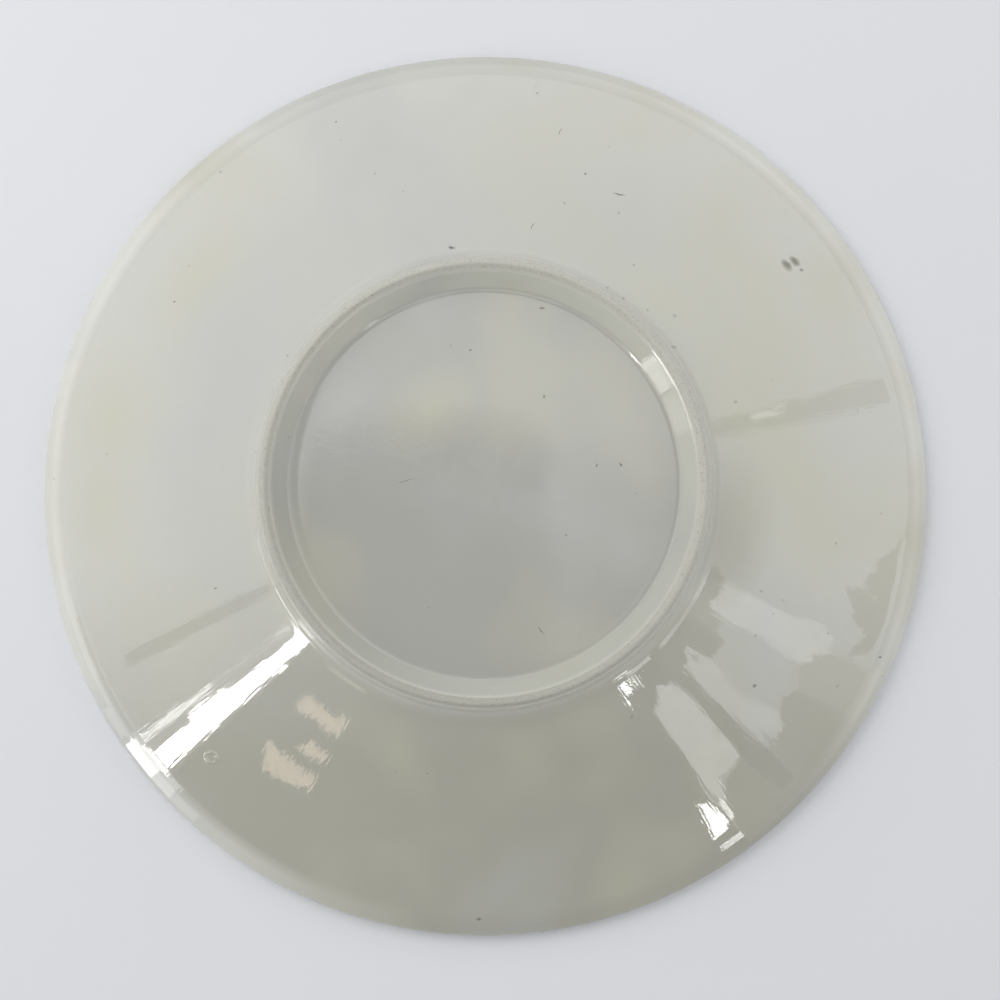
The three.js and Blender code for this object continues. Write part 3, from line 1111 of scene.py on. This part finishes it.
class SAUCER_OT_stage(bpy.types.Operator):
    """Sets out floors, lamps, reflectors, world and camera"""

    bl_idname = "saucer.stage"
    bl_label = "Stage"

    def execute(self, context):
        colours = context.scene.saucer_colours
        top = cad_high.z

        bm = bmesh.new()
        radii = (PICTURE_FLOOR_START, PICTURE_FLOOR_END)
        ends = [bm.verts.new((radius, 0, top + FLOOR_GAP)) for radius in radii]
        edge = bm.edges.new(ends)
        bmesh.ops.spin(
            bm, geom=[*ends, edge], cent=(0, 0, 0), axis=(0, 0, 1), angle=math.tau,
            steps=PICTURE_FLOOR_FACETS, use_merge=True, use_duplicate=False)
        stage_object(bm, "picture_floor", floor_paint("picture_floor_paint", colours.floor, True))

        bm = bmesh.new()
        bmesh.ops.create_cube(bm, size=1.0, matrix=Matrix.Diagonal((*STANDING_FLOOR_SIZE, 1)))
        bmesh.ops.translate(bm, verts=bm.verts[:], vec=(0, 0, -STANDING_FLOOR_SIZE.z / 2 - FLOOR_GAP))
        stage_object(bm, "standing_floor", floor_paint("standing_floor_paint", colours.floor, False))

        for name, turn, tilt, distance, width, radiance, mirrored in LAMPS:
            place = around(turn, tilt, distance)
            soft_lamp(name, place, Vector((0, 0, top / 2)), width, radiance, mirrored)
        for name, inner, outer, distance, radiance, *colour in REFLECTORS:
            reflector(name, far_off(inner, outer, distance), radiance, *FAR_BOARD_GRID, *colour)
        for layer, (name, *edges, radiance) in enumerate(NEAR_BOARDS):
            reflector(name, near_lens(*edges, layer), radiance, colour="#f4f0f2")
        for name, *edges, radiance in LIP_STRIPS:
            reflector(name, beside_lip(*edges), radiance, STRIP_COLUMNS)

        build_world(colours)

        middle_of_rim = Vector((0, 0, top))
        eye = middle_of_rim + EYE_OFFSET
        forward = (middle_of_rim + AIM_OFFSET - eye).normalized()
        right = forward.cross(Vector((0, -1, 0))).normalized()
        upwards = right.cross(forward)
        lens = bpy.data.cameras.new("camera")
        lens.sensor_width = SENSOR_WIDTH
        lens.lens = FOCAL_PIXELS * SENSOR_WIDTH / PICTURE_PIXELS
        lens.clip_start = 0.01
        camera = bpy.data.objects.new("camera", lens)
        context.scene.collection.objects.link(camera)
        turned = Matrix((right, upwards, -forward)).transposed().to_4x4()
        camera.matrix_world = Matrix.Translation(eye) @ turned
        context.scene.camera = camera
        context.scene.view_settings.view_transform = "Standard"
        return {"FINISHED"}


class SAUCER_PT_sidebar(bpy.types.Panel):
    """Lists the operators, sizes and colours in the 3D view's sidebar"""

    bl_idname = "SAUCER_PT_sidebar"
    bl_label = "Saucer"
    bl_space_type = "VIEW_3D"
    bl_region_type = "UI"
    bl_category = "Saucer"

    def draw(self, context):
        for operator in OPERATORS:
            self.layout.operator(operator.bl_idname)
        for group in (context.scene.saucer_sizes, context.scene.saucer_colours):
            for name in group.__annotations__:
                self.layout.prop(group, name)


OPERATORS = (SAUCER_OT_clay, SAUCER_OT_outer_glaze, SAUCER_OT_recess_glaze, SAUCER_OT_stage)
CLASSES = (SaucerSizes, SaucerColours, *OPERATORS, SAUCER_PT_sidebar)


def register():
    """Registers the classes and hangs the sizes and colours on the scene."""
    for each in CLASSES:
        bpy.utils.register_class(each)
    bpy.types.Scene.saucer_sizes = PointerProperty(type=SaucerSizes)
    bpy.types.Scene.saucer_colours = PointerProperty(type=SaucerColours)


def unregister():
    """Takes back what register did."""
    del bpy.types.Scene.saucer_colours
    del bpy.types.Scene.saucer_sizes
    for each in reversed(CLASSES):
        bpy.utils.unregister_class(each)


def main():
    """Builds all pieces and the stage."""
    register()
    bpy.ops.saucer.clay()
    bpy.ops.saucer.outer_glaze()
    bpy.ops.saucer.recess_glaze()
    bpy.ops.saucer.stage()


if __name__ == "__main__":
    main()
